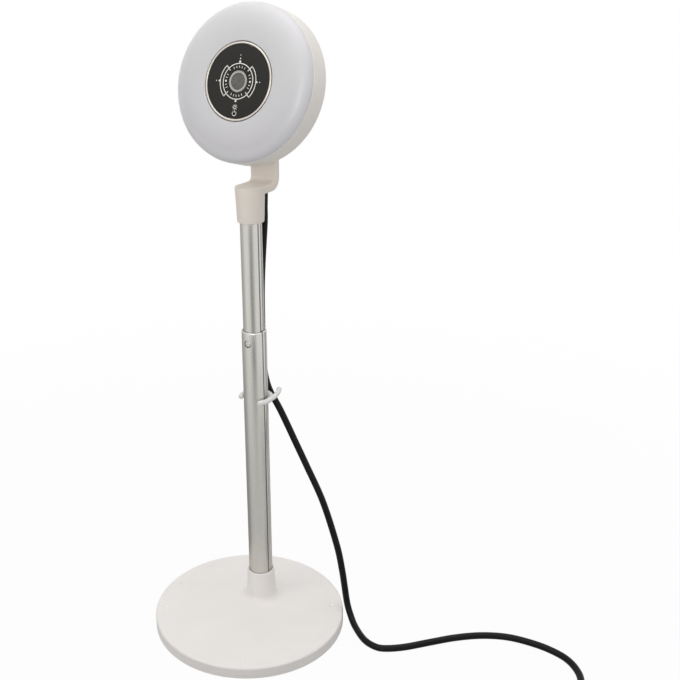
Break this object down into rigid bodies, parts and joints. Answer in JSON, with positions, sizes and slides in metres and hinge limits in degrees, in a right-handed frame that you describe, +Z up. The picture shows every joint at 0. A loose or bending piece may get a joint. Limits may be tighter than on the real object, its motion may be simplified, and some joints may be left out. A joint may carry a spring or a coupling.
{
  "type": "ring light",
  "caption": "Small ring light with a domed diffuser and control panel, tilting on a neck over a telescopic mast, with a weighted round base and a clipped power lead.",
  "frame": {"origin": "centre of the round base, on the surface that it stands on", "axes": "+Z up along the mast, front of the light towards -Y, +X to the right seen from the front"},
  "size_m": [0.4767, 0.2174, 0.5648],
  "materials": {
    "base_white": "fine matt moulded plastic, warm white",
    "warm_white": "satin moulded plastic, warm white",
    "diffuser": "milky translucent plastic, satin",
    "satin_metal": "drawn aluminium, satin anodised",
    "champagne": "bright plated trim, pale champagne",
    "panel": "charcoal panel, fine matt",
    "grey_key": "grey key top, fine matt",
    "pale_bezel": "pale grey ring, satin",
    "steel": "zinc plated steel",
    "iron": "plain ballast",
    "board": "circuit board",
    "led_board": "white board and tray",
    "rubber": "black rubber",
    "black_cord": "black flexible jacket, semi-matt",
    "clip_white": "white plastic",
    "natural_plastic": "undyed plastic"
  },
  "bodies": {
    "base": {"base_cover": "base_white", "base_plate": "base_white", "base_weight": "iron", "base_foot_1": "rubber", "base_foot_2": "rubber", "base_foot_3": "rubber", "base_foot_4": "rubber", "base_screw_1": "steel", "base_screw_2": "steel", "base_screw_3": "steel", "mast_bolt": "steel", "mast_washer": "steel", "mast_plug": "natural_plastic", "outer_tube": "satin_metal", "cord_upper": "black_cord", "cord_lower": "black_cord", "cord_coil": "black_cord", "cord_tail": "black_cord", "cord_tie": "rubber", "plug_grip": "black_cord", "plug_shell": "steel", "plug_tongue": "natural_plastic"},
    "clip": {"cable_clip": "clip_white"},
    "mast": {"inner_tube": "satin_metal", "inner_tube_plug": "natural_plastic", "neck_bracket": "warm_white", "neck_screw": "steel", "cord_gland": "black_cord", "button_spring": "steel"},
    "snap_button": {"snap_button": "satin_metal"},
    "head": {"rear_housing": "warm_white", "diffuser": "diffuser", "trim_ring": "champagne", "control_panel": "panel", "key_bezel": "pale_bezel", "panel_carrier": "warm_white", "control_board": "board", "key_switch": "panel", "reflector_tray": "led_board", "led_board": "led_board", "housing_screw_1": "steel", "housing_screw_2": "steel", "housing_screw_3": "steel", "hinge_block": "warm_white", "hinge_screw_1": "steel", "hinge_screw_2": "steel", "hinge_washer_1": "natural_plastic", "hinge_washer_2": "natural_plastic", "hinge_pin": "steel", "hinge_nut": "steel"},
    "centre_key": {"centre_key": "grey_key"}
  },
  "joints": [
    {"name": "mast_slide", "type": "slide", "parent": "base", "child": "mast", "axis": [0, 0, 1], "range_m": [-0.096, 0], "deforming": ["cord_upper", "snap_button"]},
    {"name": "button_press", "type": "slide", "parent": "mast", "child": "snap_button", "axis": [0, 1, 0], "range_m": [0, 0.0017], "stiffness_N_per_m": 800, "springref_m": -0.002, "deforming": ["button_spring"]},
    {"name": "head_tilt", "type": "hinge", "parent": "mast", "child": "head", "pos_m": [0, 0.046, 0.4835], "axis": [-1, 0, 0], "range_deg": [-16, 34]},
    {"name": "key_press", "type": "slide", "parent": "head", "child": "centre_key", "axis": [0, 0.9613, -0.2756], "range_m": [0, 0.0008], "stiffness_N_per_m": 900, "springref_m": -0.0008},
    {"name": "clip_slide", "type": "slide", "parent": "base", "child": "clip", "axis": [0, 0, 1], "range_m": [0, 0.04]}
  ]
}
